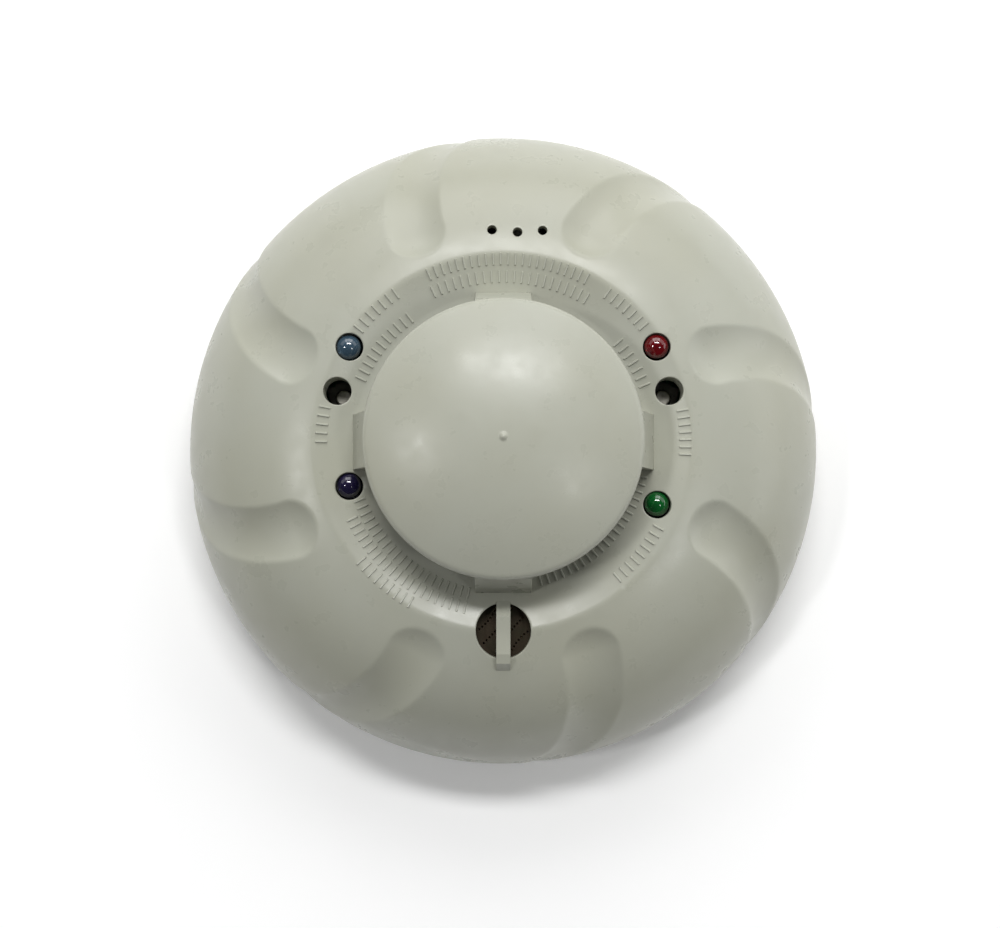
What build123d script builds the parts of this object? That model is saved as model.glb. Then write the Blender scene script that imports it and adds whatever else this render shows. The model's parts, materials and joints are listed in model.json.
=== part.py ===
"""Combined smoke and carbon monoxide detector head on its twist-lock ceiling base.

Millimetres. The origin is the centre of the base's rear face, which lies on the ceiling plate, and +Z points
into the room. +Y is the side with the three gas holes, and the guarded sounder opening is on the -Y side.
"""

from build123d import *
from math import acos, atan2, cos, degrees, radians, sin, sqrt, tan
import os

os.makedirs("parts", exist_ok=True)

# ---------------------------------------------------------------- overall sizes
body_radius = 70.0  # widest radius of the front cover
widest_height = 10.5  # height of the widest ring above the ceiling
crest_radius = 39.8  # edge between the outer dome and the sunk channel
crest_height = 39.3
ceiling_gap = 1.5  # shadow gap under the cover's skirt
dome_centre_radius = 33.5  # where the dome's elliptical section is centred
cover_wall = 3.0

# ---------------------------------------------------------------- channel and smoke cap
channel_slope = 15.0  # degrees, falling towards the cap
channel_floor_radius = 31.0
channel_web = 2.5  # thickness of the channel floor
cap_radius = 28.9
cap_rise = 11.7  # from the crest to the edge of the cap
cap_sphere_radius = 73.0
cap_rim_depth = 3.0
cap_wall = 2.4
cap_edge_fillet = 1.2
nub_radius = 0.8
pillar_width = 11.7
pillar_foot_radius = 31.7
pillar_tuck = 0.2  # how far a pillar stays inside the cap's rim
flange_thickness = 1.4
flange_width = 3.0
flange_pad_radius = 33.0

# ---------------------------------------------------------------- scoops in the dome
scoop_count = 8
scoop_first_angle = 22.5
scoop_head_radius = 48.2  # distance of each scoop's head from the axis
scoop_tube_radius = 13.6
scoop_head_depth = 1.6
scoop_tail_depth = 0.4
scoop_tail_sweep = 19.0  # degrees, clockwise, from head to rim
scoop_run_out = 1.12  # the cutter goes on past the rim until it leaves the skirt
skirt_draft = 0.4

# ---------------------------------------------------------------- fits and stock
fit_gap = 0.15  # all round a piece that sits in a recess
running_gap = 0.4  # between the head and the base
pin_hole_gap = 0.05

# ---------------------------------------------------------------- base
base_radius = 60.0
base_plate = 2.5
base_lip_height = 6.0
base_lip_wall = 2.0
wire_opening_radius = 22.0
opening_lip_height = 1.5
wide_slot_spacing = 86.0
narrow_slot_spacing = 60.0
slot_width = 4.4
slot_length = 10.0
twist_ring_radius = 52.0
twist_ring_wall = 2.0
hook_count = 3
hook_first_angle = 15.0
tab_reach = 3.0
tab_thickness = 2.0
tab_angle = 16.0
hook_lip_bottom = 6.0
hook_lip_thickness = 2.2
hook_wall = 1.8
stop_angle = 2.0
stop_play = 0.5
unlock_angle = 22.0  # how far the head turns before its tabs are free of the hooks
unlock_margin = 4.5

# ---------------------------------------------------------------- contacts and terminals
contact_count = 6
contact_first_angle = 0.0
contact_radius = 33.0
contact_strip = 0.6
contact_width = 5.0
leaf_bend_in = 3.4  # the leaf's bends and tip, measured from the contact circle
leaf_crown = 0.6
leaf_tip = 2.4
leaf_rise = 2.8
contact_clearance = 0.3
terminal_radius = 39.5
terminal_shank_radius = 1.5
terminal_thread = 1.9
terminal_head_radius = 2.7
terminal_head_height = 1.4
driver_slot_width = 0.8
driver_slot_depth = 0.7
clamp_size = 6.4
clamp_thickness = 0.8
blade_width = 4.0
blade_proud = 1.0
blade_inset = 1.0  # the blade stands this far inside the contact circle
blade_foot_reach = 3.0

# ---------------------------------------------------------------- rear housing and board
rear_floor_height = 10.0
rear_floor = 2.4
rear_inset = 6.0  # from the cover's widest ring to the rear housing's wall
rear_wall_height = 18.0
rear_wall = 2.0
board_radius = 53.0
board_height = 24.0
board_thickness = 1.6
board_post_radius = 3.5
board_post_circle = 47.5
board_post_angles = (0, 115, 180, 295)
board_screw_radius = 1.25
board_screw_head_radius = 2.5
board_screw_head_height = 1.8
board_screw_thread = 7.0
cover_boss_radius = 3.3
cover_boss_inset = 13.0
cover_boss_angles = (37, 127, 217, 307)
cover_screw_radius = 1.5
cover_screw_head_radius = 2.8
cover_screw_length = 12.0

# ---------------------------------------------------------------- sounder
sounder_y = -39.6
sounder_port_radius = 5.77
sounder_radius = 12.0
sounder_wall = 1.2
sounder_top = 31.0
sounder_ledge = 2.4
sounder_ledge_radius = 9.4
sounder_seat_depth = 1.5  # how far the screen's counterbore goes up into the channel floor
sounder_rim_lap = 1.13  # how far the screen reaches past the port's edge
sounder_gasket_thickness = 0.6
sounder_screen_thickness = 0.6
sounder_disc_thickness = 0.4
sounder_element_thickness = 0.3
sounder_element_radius = 7.0
screen_dot_radius = 0.24
screen_dot_rows = 4
screen_dots_in_row = 12
screen_dot_pitch = 0.84
screen_row_pitch = 2.5
screen_dot_bend = 0.035
screen_row_turn = 52.0
guard_width = 2.95
guard_proud = 1.1  # above the crest
guard_thickness = 2.3
guard_ramp = 2.6
guard_foot = 2.9
guard_root = 1.2  # how far the bar's ends run into the cover beside the port
guard_sink = 0.4
guard_dip = 0.2  # the ramp's top lies this much lower than the flat
guard_nose = 1.0
guard_nose_drop = 0.6
guard_heel = 1.4
guard_underside_in = 0.3
guard_ramp_wall = 0.18  # between the ramp and the start of the bar's underside, along Y

# ---------------------------------------------------------------- gas sensor
gas_hole_radius = 1.0
gas_holes = ((-2.4, 44.9), (3.0, 44.4), (8.3, 44.8))
sensor_x = 3.0
sensor_y = 43.2
sensor_radius = 7.6
sensor_flange_radius = 8.6
sensor_flange = 1.0
sensor_top = 30.0
sensor_bottom = 16.0
sensor_edge = 0.8
sensor_collar_radius = 8.0
sensor_collar_bottom = 31.6
gas_space_radius = 6.6
gas_space_drop = 0.44  # from the channel floor's underside to the top of the gas space
sensor_filter_radius = 5.6
sensor_filter_thickness = 0.8

# ---------------------------------------------------------------- smoke chamber
chamber_radius = 24.0
chamber_floor = 2.4
chamber_drop = 2.0  # from the cap's rim to the top of the vanes
chamber_lid = 1.2
vane_count = 24
vane_inset = 0.6
vane_length = 5.6
vane_thickness = 0.9
vane_angle = 38.0
vane_first_angle = 7.5
light_trap_radius = 14.0
light_trap_depth = 2.0
light_trap_tip = 3.5
screen_gap = 1.4  # from the chamber to the outside of the screen
bore_gap = 1.4  # from the screen to the cover's bore
pillar_gap = 0.9  # from the screen to the pillars
screen_wall = 0.4
screen_slot_count = 72
screen_slot_width = 1.1
screen_slot_rows = 3
screen_slot_height = 2.6
screen_slot_pitch = 3.1
screen_slot_margin = 2.45  # from the channel floor to the middle of the first row of slots
screen_lap = 0.6  # how far the screen rises into the cap
optic_radius = 2.5
optic_set_back = 1.0  # the lens stands this far back in its holder
optic_length = 7.0
optic_height = 36.5
optic_distance = 11.0
emitter_angle = 210.0
receiver_angle = 330.0
holder_size = 7.6

# ---------------------------------------------------------------- lamps and test switches
lamp_radius = 2.45
lamp_flange_lap = 0.45
lamp_flange = 1.0
lamp_hole_gap = 0.43
lamp_proud = 0.8  # how far the dome stands above the channel beside it
lamp_spacer_radius = 3.3
lamp_spacer_bore = 1.8
lamp_length = 8.7
lamp_lead_radius = 0.25
lamp_lead_offset = 1.27
lamps = {  # hole centre, then how far the lamp sits off the hole's centre, in X and in Y
    "co_alarm_lamp": (-32.4, 20.0, -0.25, 0.05),
    "smoke_alarm_lamp": (32.3, 20.0, 0.0, 0.25),
    "trouble_lamp": (-32.4, -9.3, -0.18, 0.22),
    "power_lamp": (32.3, -13.2, 0.0, 0.22),
}
test_hole_radius = 2.9
test_tube_wall = 1.2
test_tube_bottom = 31.8
test_holes = {"left": (-34.9, 10.7), "right": (34.9, 10.7)}
switch_size = 6.2
switch_height = 3.2
switch_frame_thickness = 0.4
switch_leg_width = 2.4
switch_offset_in = 0.8  # the switch stands a little towards the axis and towards -Y
switch_offset_down = 0.9
switch_turn = 14.0
button_radius = 1.7
button_top = 31.2
button_travel = 0.5
button_in_body = 0.9  # how far the button reaches into its switch
button_edge = 0.42

# ---------------------------------------------------------------- other board components
relay_size = (15.0, 7.4, 9.8)
relay_edge = 0.6
relay_places = ((-19.0, -10.0), (-19.0, 10.0))
chip_place = (4.0, 1.0)
chip_size = (9.0, 9.0, 1.4)
chip_stand_off = 0.2
chip_pins = 8
chip_pin_pitch = 1.0
chip_pin_width = 0.4
chip_pin_reach = 2.0
chip_pin_thickness = 0.2
capacitor_radius = 4.0
capacitor_length = 9.5
capacitor_edge = 0.5
capacitor_places = ((6.0, -18.0), (16.0, -14.0), (24.0, -6.0))
varistor_place = (20.0, 11.0)
varistor_radius = 4.0
varistor_thickness = 3.2
varistor_leg = 1.0
varistor_pin_offset = 2.5
varistor_pin_radius = 0.3
coil_place = (2.0, 14.5)
coil_radius = 5.0
coil_length = 8.0
coil_flange = 1.0

# ---------------------------------------------------------------- worked-out sizes
dome_width = body_radius - dome_centre_radius
crest_share = (crest_radius - dome_centre_radius) / dome_width
dome_height = (crest_height - widest_height) / sqrt(1 - crest_share**2)
channel_fall = tan(radians(channel_slope))
screen_radius = chamber_radius + screen_gap
cover_bore_radius = screen_radius + bore_gap
pillar_inner_radius = screen_radius + pillar_gap
flange_radius = pillar_inner_radius + flange_width
rear_radius = body_radius - rear_inset
cover_boss_circle = body_radius - cover_boss_inset
sounder_rim_radius = sounder_port_radius + sounder_rim_lap
lamp_flange_radius = lamp_radius + lamp_flange_lap
lamp_hole_radius = lamp_radius + lamp_hole_gap
cap_edge_height = crest_height + cap_rise
cap_rim_bottom = cap_edge_height - cap_rim_depth
chamber_top = cap_rim_bottom - chamber_drop
vane_outer_radius = chamber_radius - vane_inset
channel_floor_height = crest_height - (crest_radius - channel_floor_radius) * channel_fall
channel_underside = channel_floor_height - channel_web
screen_slot_first = channel_floor_height + screen_slot_margin
gas_space_top = channel_underside - gas_space_drop
sounder_seat = channel_underside + sounder_seat_depth
board_top = board_height + board_thickness
rear_floor_top = rear_floor_height + rear_floor
tab_top = hook_lip_bottom - running_gap
hook_angle = stop_angle + stop_play + unlock_angle - unlock_margin


def dome_surface(radius):
    """Height of the outer dome at a distance from the axis."""
    share = (radius - dome_centre_radius) / dome_width
    return widest_height + dome_height * sqrt(max(0.0, 1 - share**2))


def channel_surface(radius):
    """Height of the front face at a distance from the axis, inside or outside the crest."""
    if radius > crest_radius:
        return dome_surface(radius)
    fall = (crest_radius - max(radius, channel_floor_radius)) * channel_fall
    return crest_height - fall


def scoop_centre(share):
    """Centre of the scoop's round cutter, from its head (share 0) to the rim (share 1), for a head on +X."""
    head_angle = atan2(
        (scoop_head_radius - dome_centre_radius) / dome_width,
        (dome_surface(scoop_head_radius) - widest_height) / dome_height,
    )
    turn = head_angle + (radians(90) - head_angle) * share
    radius = dome_centre_radius + dome_width * sin(turn)
    height = widest_height + dome_height * cos(turn)
    normal = Vector(sin(turn) / dome_width, cos(turn) / dome_height).normalized()
    depth = scoop_head_depth + (scoop_tail_depth - scoop_head_depth) * share**2
    stand_off = scoop_tube_radius - depth
    sweep = -radians(scoop_tail_sweep) * share**1.6
    out = radius + stand_off * normal.X
    return Vector(out * cos(sweep), out * sin(sweep), height + stand_off * normal.Y)


def save(part, name):
    """Label a finished piece and write its STEP file."""
    part.label = name
    export_step(part, f"parts/{name}.step")


# ================================================================ fixed base
standing = (Align.CENTER, Align.CENTER, Align.MIN)
hanging = (Align.CENTER, Align.CENTER, Align.MAX)
post_inner = twist_ring_radius + tab_reach + running_gap
post_outer = post_inner + hook_wall
lip_inner = twist_ring_radius + running_gap
hook_top = hook_lip_bottom + hook_lip_thickness

with BuildPart() as hook:  # a post outside the head's tab, with a lip over it
    with BuildSketch(Plane.XZ):
        with BuildLine():
            Polyline(
                (post_inner, 0),
                (post_outer, 0),
                (post_outer, hook_top),
                (lip_inner, hook_top),
                (lip_inner, hook_lip_bottom),
                (post_inner, hook_lip_bottom),
                close=True,
            )
        make_face()
    revolve(axis=Axis.Z, revolution_arc=hook_angle)
    # the stop that a tab meets when the head is fully home
    with BuildSketch(Plane.XZ):
        with BuildLine():
            Polyline(
                (lip_inner, 0),
                (post_inner, 0),
                (post_inner, hook_top),
                (lip_inner, hook_top),
                close=True,
            )
        make_face()
    revolve(axis=Axis.Z, revolution_arc=stop_angle)

hook_start = hook_first_angle - tab_angle / 2 - stop_play - stop_angle

with BuildPart() as mounting_base:
    with BuildSketch():
        Circle(base_radius)
        Circle(wire_opening_radius, mode=Mode.SUBTRACT)
        for spacing in (wide_slot_spacing, narrow_slot_spacing):
            with Locations((0, spacing / 2), (0, -spacing / 2)):
                SlotOverall(slot_length, slot_width, rotation=90, mode=Mode.SUBTRACT)
    extrude(amount=base_plate)
    with BuildSketch(Plane.XY.offset(base_plate)):
        Circle(base_radius)
        Circle(base_radius - base_lip_wall, mode=Mode.SUBTRACT)
    extrude(amount=base_lip_height - base_plate)
    with BuildSketch(Plane.XY.offset(base_plate)):
        Circle(wire_opening_radius + base_lip_wall)
        Circle(wire_opening_radius, mode=Mode.SUBTRACT)
    extrude(amount=opening_lip_height)
    with PolarLocations(0, hook_count, start_angle=hook_start):
        add(hook.part)
    with PolarLocations(terminal_radius, contact_count, start_angle=contact_first_angle):
        with Locations((0, 0, base_plate)):
            Hole(terminal_shank_radius, depth=terminal_thread)
save(mounting_base.part, "mounting_base")

strip_middle = base_plate + contact_strip / 2
leaf_top = base_plate + leaf_rise
with BuildPart() as base_contact:
    with BuildSketch(Plane.XZ):
        with BuildLine():
            FilletPolyline(
                (terminal_radius + clamp_size / 2, strip_middle),
                (contact_radius - leaf_bend_in, strip_middle),
                (contact_radius - leaf_crown, leaf_top - contact_strip / 2),
                (contact_radius + leaf_tip, leaf_top - contact_strip),
                radius=contact_strip,
            )
        trace(line_width=contact_strip)
    extrude(amount=contact_width / 2, both=True)
    with Locations((terminal_radius, 0, base_plate + contact_strip)):
        Hole(terminal_shank_radius + pin_hole_gap, depth=contact_strip)

with BuildPart() as base_contacts:
    with PolarLocations(0, contact_count, start_angle=contact_first_angle):
        add(base_contact.part)
save(base_contacts.part, "base_contacts")

clamp_bottom = base_plate + contact_strip
with BuildPart() as wire_clamps:
    with PolarLocations(terminal_radius, contact_count, start_angle=contact_first_angle):
        with Locations((0, 0, clamp_bottom)):
            Box(clamp_size, clamp_size, clamp_thickness, align=standing)
    with PolarLocations(terminal_radius, contact_count, start_angle=contact_first_angle):
        with Locations((0, 0, clamp_bottom + clamp_thickness)):
            Hole(terminal_shank_radius + pin_hole_gap, depth=clamp_thickness)
save(wire_clamps.part, "wire_clamps")

terminal_head_bottom = clamp_bottom + clamp_thickness
with BuildPart() as terminal_screws:
    with PolarLocations(terminal_radius, contact_count, start_angle=contact_first_angle):
        with Locations((0, 0, base_plate - terminal_thread)):
            Cylinder(
                terminal_shank_radius,
                terminal_head_bottom - base_plate + terminal_thread,
                align=standing,
            )
        with Locations((0, 0, terminal_head_bottom)):
            Cylinder(
                terminal_head_radius, terminal_head_height, align=standing
            )
        with Locations((0, 0, terminal_head_bottom + terminal_head_height)):
            Box(
                2 * terminal_head_radius,
                driver_slot_width,
                driver_slot_depth,
                align=hanging,
                mode=Mode.SUBTRACT,
            )
save(terminal_screws.part, "terminal_screws")

# ================================================================ rear housing of the head
ring_bottom = tab_top - tab_thickness
with BuildPart() as twist_tab:
    with BuildSketch(Plane.XZ):
        with BuildLine():
            Polyline(
                (twist_ring_radius - twist_ring_wall / 2, ring_bottom),
                (twist_ring_radius + tab_reach, ring_bottom),
                (twist_ring_radius + tab_reach, tab_top),
                (twist_ring_radius - twist_ring_wall / 2, tab_top),
                close=True,
            )
        make_face()
    revolve(axis=Axis.Z, revolution_arc=tab_angle)

with BuildPart() as rear_housing:
    with BuildSketch(Plane.XY.offset(rear_floor_height)):
        Circle(rear_radius)
    extrude(amount=rear_floor)
    with BuildSketch(Plane.XY.offset(rear_floor_top)):
        Circle(rear_radius)
        Circle(rear_radius - rear_wall, mode=Mode.SUBTRACT)
    extrude(amount=rear_wall_height - rear_floor_top)
    with BuildSketch(Plane.XY.offset(ring_bottom)):
        Circle(twist_ring_radius)
        Circle(twist_ring_radius - twist_ring_wall, mode=Mode.SUBTRACT)
    extrude(amount=rear_floor_height - ring_bottom)
    with PolarLocations(0, hook_count, start_angle=hook_first_angle - tab_angle / 2):
        add(twist_tab.part)
    for angle in board_post_angles:
        with BuildSketch(Plane.XY.offset(rear_floor_top)):
            with PolarLocations(board_post_circle, 1, start_angle=angle):
                Circle(board_post_radius)
        extrude(amount=board_height - rear_floor_top)
        with PolarLocations(board_post_circle, 1, start_angle=angle):
            with Locations((0, 0, board_height)):
                Hole(board_screw_radius, depth=board_screw_thread)
    for angle in cover_boss_angles:
        with PolarLocations(cover_boss_circle, 1, start_angle=angle):
            with Locations(Location((0, 0, rear_floor_height), (180, 0, 0))):
                CounterSinkHole(
                    cover_screw_radius + pin_hole_gap, cover_screw_head_radius + pin_hole_gap, rear_floor
                )
    with BuildSketch(Plane.XY.offset(rear_floor_height)):
        with PolarLocations(contact_radius - blade_inset, contact_count, start_angle=contact_first_angle):
            Rectangle(contact_strip + 2 * fit_gap, blade_width + 2 * fit_gap)
    extrude(amount=rear_floor, mode=Mode.SUBTRACT)
save(rear_housing.part, "rear_housing")

with BuildPart() as cover_screw:
    with Locations((0, 0, rear_floor_height)):
        Cylinder(cover_screw_radius, cover_screw_length, align=standing)
        Cone(
            cover_screw_head_radius,
            cover_screw_radius,
            cover_screw_head_radius - cover_screw_radius,
            align=standing,
        )
        for turn in (0, 90):
            Box(
                2 * cover_screw_radius,
                driver_slot_width,
                driver_slot_depth,
                rotation=(0, 0, turn),
                align=standing,
                mode=Mode.SUBTRACT,
            )

with BuildPart() as housing_screws:
    for angle in cover_boss_angles:
        with PolarLocations(cover_boss_circle, 1, start_angle=angle):
            add(cover_screw.part)
save(housing_screws.part, "housing_screws")

blade_foot = leaf_top + contact_clearance
with BuildPart() as contact_blade:
    with BuildSketch(Plane.XZ):
        with BuildLine():
            FilletPolyline(
                (contact_radius + blade_foot_reach, blade_foot + contact_strip / 2),
                (contact_radius - blade_inset, blade_foot + contact_strip / 2),
                (contact_radius - blade_inset, board_top + blade_proud),
                radius=contact_strip,
            )
        trace(line_width=contact_strip)
    extrude(amount=blade_width / 2, both=True)

with BuildPart() as contact_blades:
    with PolarLocations(0, contact_count, start_angle=contact_first_angle):
        add(contact_blade.part)
save(contact_blades.part, "contact_blades")

# ================================================================ main circuit board
with BuildPart() as main_circuit_board:
    with BuildSketch(Plane.XY.offset(board_height)):
        Circle(board_radius)
        with Locations((sensor_x, sensor_y)):
            Circle(sensor_radius + fit_gap, mode=Mode.SUBTRACT)
        with PolarLocations(contact_radius - blade_inset, contact_count, start_angle=contact_first_angle):
            Rectangle(contact_strip + 2 * fit_gap, blade_width + 2 * fit_gap, mode=Mode.SUBTRACT)
        for angle in board_post_angles:
            with PolarLocations(board_post_circle, 1, start_angle=angle):
                Circle(board_screw_radius + pin_hole_gap, mode=Mode.SUBTRACT)
        for x, y, off_x, off_y in lamps.values():
            for lead in (-lamp_lead_offset, lamp_lead_offset):
                with Locations((x + off_x + lead, y + off_y)):
                    Circle(lamp_lead_radius + pin_hole_gap, mode=Mode.SUBTRACT)
    extrude(amount=board_thickness)
save(main_circuit_board.part, "main_circuit_board")

with BuildPart() as board_screws:
    for angle in board_post_angles:
        with PolarLocations(board_post_circle, 1, start_angle=angle):
            with Locations((0, 0, board_height - board_screw_thread)):
                Cylinder(
                    board_screw_radius,
                    board_thickness + board_screw_thread,
                    align=standing,
                )
            with Locations((0, 0, board_top)):
                Cylinder(
                    board_screw_head_radius,
                    board_screw_head_height,
                    align=standing,
                )
            with Locations((0, 0, board_top + board_screw_head_height)):
                Box(
                    2 * board_screw_head_radius,
                    driver_slot_width,
                    driver_slot_depth,
                    align=hanging,
                    mode=Mode.SUBTRACT,
                )
save(board_screws.part, "board_screws")

with BuildPart() as alarm_relays:
    for x, y in relay_places:
        with Locations((x, y, board_height)):
            Box(*relay_size, align=hanging)
    fillet(alarm_relays.edges().filter_by(Axis.Z), radius=relay_edge)
save(alarm_relays.part, "alarm_relays")

with BuildPart() as controller_chip:
    with Locations((*chip_place, board_height - chip_stand_off)):
        Box(*chip_size, align=hanging)
    for side in (-1, 1):
        for pin in range(chip_pins):
            along = (pin - (chip_pins - 1) / 2) * chip_pin_pitch
            with Locations((chip_place[0] + side * chip_size[0] / 2, chip_place[1] + along, board_height)):
                Box(chip_pin_reach, chip_pin_width, chip_stand_off + chip_pin_thickness, align=hanging)
save(controller_chip.part, "controller_chip")

with BuildPart() as filter_capacitors:
    for x, y in capacitor_places:
        with Locations((x, y, board_height)):
            Cylinder(capacitor_radius, capacitor_length, align=hanging)
    free_ends = filter_capacitors.faces().filter_by(GeomType.PLANE).sort_by(Axis.Z)[: len(capacitor_places)]
    fillet(free_ends.edges(), radius=capacitor_edge)
save(filter_capacitors.part, "filter_capacitors")

with BuildPart() as surge_varistor:
    with BuildSketch(Plane.XZ.offset(-varistor_place[1])):
        with Locations((varistor_place[0], board_height - varistor_radius - varistor_leg)):
            Circle(varistor_radius)
    extrude(amount=varistor_thickness / 2, both=True)
    for side in (-1, 1):
        with Locations((varistor_place[0] + side * varistor_pin_offset, varistor_place[1], board_height)):
            Cylinder(varistor_pin_radius, varistor_leg + varistor_radius, align=hanging)
save(surge_varistor.part, "surge_varistor")

with BuildPart() as sounder_coil:
    with Locations((*coil_place, board_height)):
        Cylinder(coil_radius, coil_flange, align=hanging)
    with Locations((*coil_place, board_height - coil_flange)):
        Cylinder(coil_radius - coil_flange, coil_length - 2 * coil_flange, align=hanging)
    with Locations((*coil_place, board_height - coil_length + coil_flange)):
        Cylinder(coil_radius, coil_flange, align=hanging)
save(sounder_coil.part, "sounder_coil")

# ================================================================ front cover
inner_width = dome_width - cover_wall
inner_height = dome_height - cover_wall
skirt_inner = body_radius - cover_wall
crest_angle = degrees(acos((crest_radius - dome_centre_radius) / dome_width))
inner_crest_angle = degrees(acos((crest_radius - dome_centre_radius) / inner_width))
inner_crest_height = widest_height + inner_height * sin(radians(inner_crest_angle))

with BuildPart() as cover_hollow:  # the space under the dome, with collars, tubes and bosses left standing
    with BuildSketch(Plane.XZ):
        with BuildLine():
            EllipticalCenterArc(
                (dome_centre_radius, widest_height), inner_width, inner_height, arc_size=inner_crest_angle
            )
            Polyline(
                (crest_radius, inner_crest_height),
                (crest_radius - cover_wall, channel_underside),
                (0, channel_underside),
                (0, 0),
                (skirt_inner, 0),
                (skirt_inner, widest_height),
            )
        make_face()
    revolve(axis=Axis.Z)
    with Locations((0, sounder_y, sounder_top)):
        Cylinder(
            sounder_rim_radius + fit_gap,
            sounder_seat - sounder_top,
            align=standing,
        )
    with Locations((sensor_x, sensor_y, sensor_collar_bottom)):
        Cylinder(sensor_collar_radius, body_radius, align=standing, mode=Mode.SUBTRACT)
        Cylinder(gas_space_radius, gas_space_top - sensor_collar_bottom, align=standing)
    for x, y in test_holes.values():
        with Locations((x, y, test_tube_bottom)):
            Cylinder(test_hole_radius + test_tube_wall, body_radius, align=standing, mode=Mode.SUBTRACT)
    for angle in cover_boss_angles:
        with PolarLocations(cover_boss_circle, 1, start_angle=angle):
            with Locations((0, 0, rear_floor_top)):
                Cylinder(cover_boss_radius, body_radius, align=standing, mode=Mode.SUBTRACT)

with BuildPart() as scoop_cutter:  # a bent tube with a round head, which leaves a comma-shaped hollow
    with BuildLine() as scoop_path:
        ThreePointArc(scoop_centre(0), scoop_centre(scoop_run_out / 2), scoop_centre(scoop_run_out))
    with BuildSketch(Plane(origin=scoop_path.line @ 0, z_dir=scoop_path.line % 0)):
        Circle(scoop_tube_radius)
    sweep()
    with Locations(scoop_path.line @ 0):
        Sphere(scoop_tube_radius)

with BuildPart() as front_cover:
    with BuildSketch(Plane.XZ):
        with BuildLine():
            EllipticalCenterArc(
                (dome_centre_radius, widest_height), dome_width, dome_height, arc_size=crest_angle
            )
            Polyline(
                (crest_radius, crest_height),
                (channel_floor_radius, channel_floor_height),
                (0, channel_floor_height),
                (0, ceiling_gap),
                (body_radius - skirt_draft, ceiling_gap),
                (body_radius, widest_height),
            )
        make_face()
    revolve(axis=Axis.Z)
    add(cover_hollow.part, mode=Mode.SUBTRACT)
    # bore for the smoke inlet, with four notches for the cap's pillars
    with BuildSketch(Plane.XY.offset(channel_underside - channel_web)):
        Circle(cover_bore_radius)
        with PolarLocations(pillar_foot_radius / 2, 4):
            Rectangle(pillar_foot_radius + 2 * fit_gap, pillar_width + 2 * fit_gap)
    extrude(amount=crest_height, mode=Mode.SUBTRACT)
    with PolarLocations(0, scoop_count, start_angle=scoop_first_angle):
        add(scoop_cutter.part, mode=Mode.SUBTRACT)
    # lamp holes, test holes, gas holes and the sounder's port
    with BuildSketch(Plane.XY.offset(channel_underside - cover_wall)):
        for lamp_hole in lamps.values():
            with Locations(lamp_hole[:2]):
                Circle(lamp_hole_radius)
        for x, y in gas_holes:
            with Locations((x, y)):
                Circle(gas_hole_radius)
        with Locations((0, sounder_y)):
            Circle(sounder_port_radius)
    extrude(amount=crest_height, mode=Mode.SUBTRACT)
    with BuildSketch(Plane.XY.offset(test_tube_bottom)):
        for x, y in test_holes.values():
            with Locations((x, y)):
                Circle(test_hole_radius)
    extrude(amount=crest_height, mode=Mode.SUBTRACT)
    for angle in cover_boss_angles:
        with PolarLocations(cover_boss_circle, 1, start_angle=angle):
            with Locations(Location((0, 0, rear_floor_top), (180, 0, 0))):
                Hole(cover_screw_radius, depth=cover_screw_length - rear_floor)
    # guard bar across the sounder's port
    port_inner = -sounder_y - sounder_port_radius
    port_outer = -sounder_y + sounder_port_radius
    guard_top = crest_height + guard_proud
    guard_underside = guard_top - guard_thickness
    ramp_foot = (-port_inner + guard_root, channel_surface(port_inner - guard_root) - guard_sink)
    ramp_top = (-port_inner - guard_ramp, guard_top - guard_dip)
    ramp_share = (guard_underside - ramp_foot[1]) / (ramp_top[1] - ramp_foot[1])
    ramp_underside = ramp_foot[0] + (ramp_top[0] - ramp_foot[0]) * ramp_share - guard_ramp_wall
    with BuildSketch(Plane.YZ):
        with BuildLine():
            Polyline(
                ramp_foot,
                ramp_top,
                (-port_outer + guard_nose, guard_top),
                (-port_outer - guard_nose, guard_top - guard_nose_drop),
                (-port_outer - guard_foot, dome_surface(port_outer + guard_foot) - guard_sink),
                (-port_outer - guard_root, guard_underside - guard_heel),
                (-port_outer + guard_underside_in, guard_underside),
                (ramp_underside, guard_underside),
                close=True,
            )
        make_face()
    extrude(amount=guard_width / 2, both=True)
save(front_cover.part, "front_cover")

# ================================================================ smoke inlet cap and screen
cap_centre = cap_edge_height - sqrt(cap_sphere_radius**2 - cap_radius**2)
cap_top = cap_centre + cap_sphere_radius
cap_inner_radius = cap_radius - cap_wall
cap_inner_sphere = cap_sphere_radius - cap_wall
cap_inner_height = cap_centre + sqrt(cap_inner_sphere**2 - cap_inner_radius**2)
flange_bottom = channel_underside - flange_thickness

with BuildPart() as pillar:
    with BuildSketch(Plane.XZ):
        with BuildLine():
            Polyline(
                (pillar_inner_radius, flange_bottom),
                (pillar_inner_radius, cap_inner_height - pillar_tuck / 2),
                (cap_radius - pillar_tuck, cap_rim_bottom + pillar_tuck),
                (pillar_foot_radius, channel_floor_height),
                (pillar_foot_radius, channel_underside),
                (flange_pad_radius, channel_underside),
                (flange_pad_radius, flange_bottom),
                close=True,
            )
        make_face()
    extrude(amount=pillar_width / 2, both=True)

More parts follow.
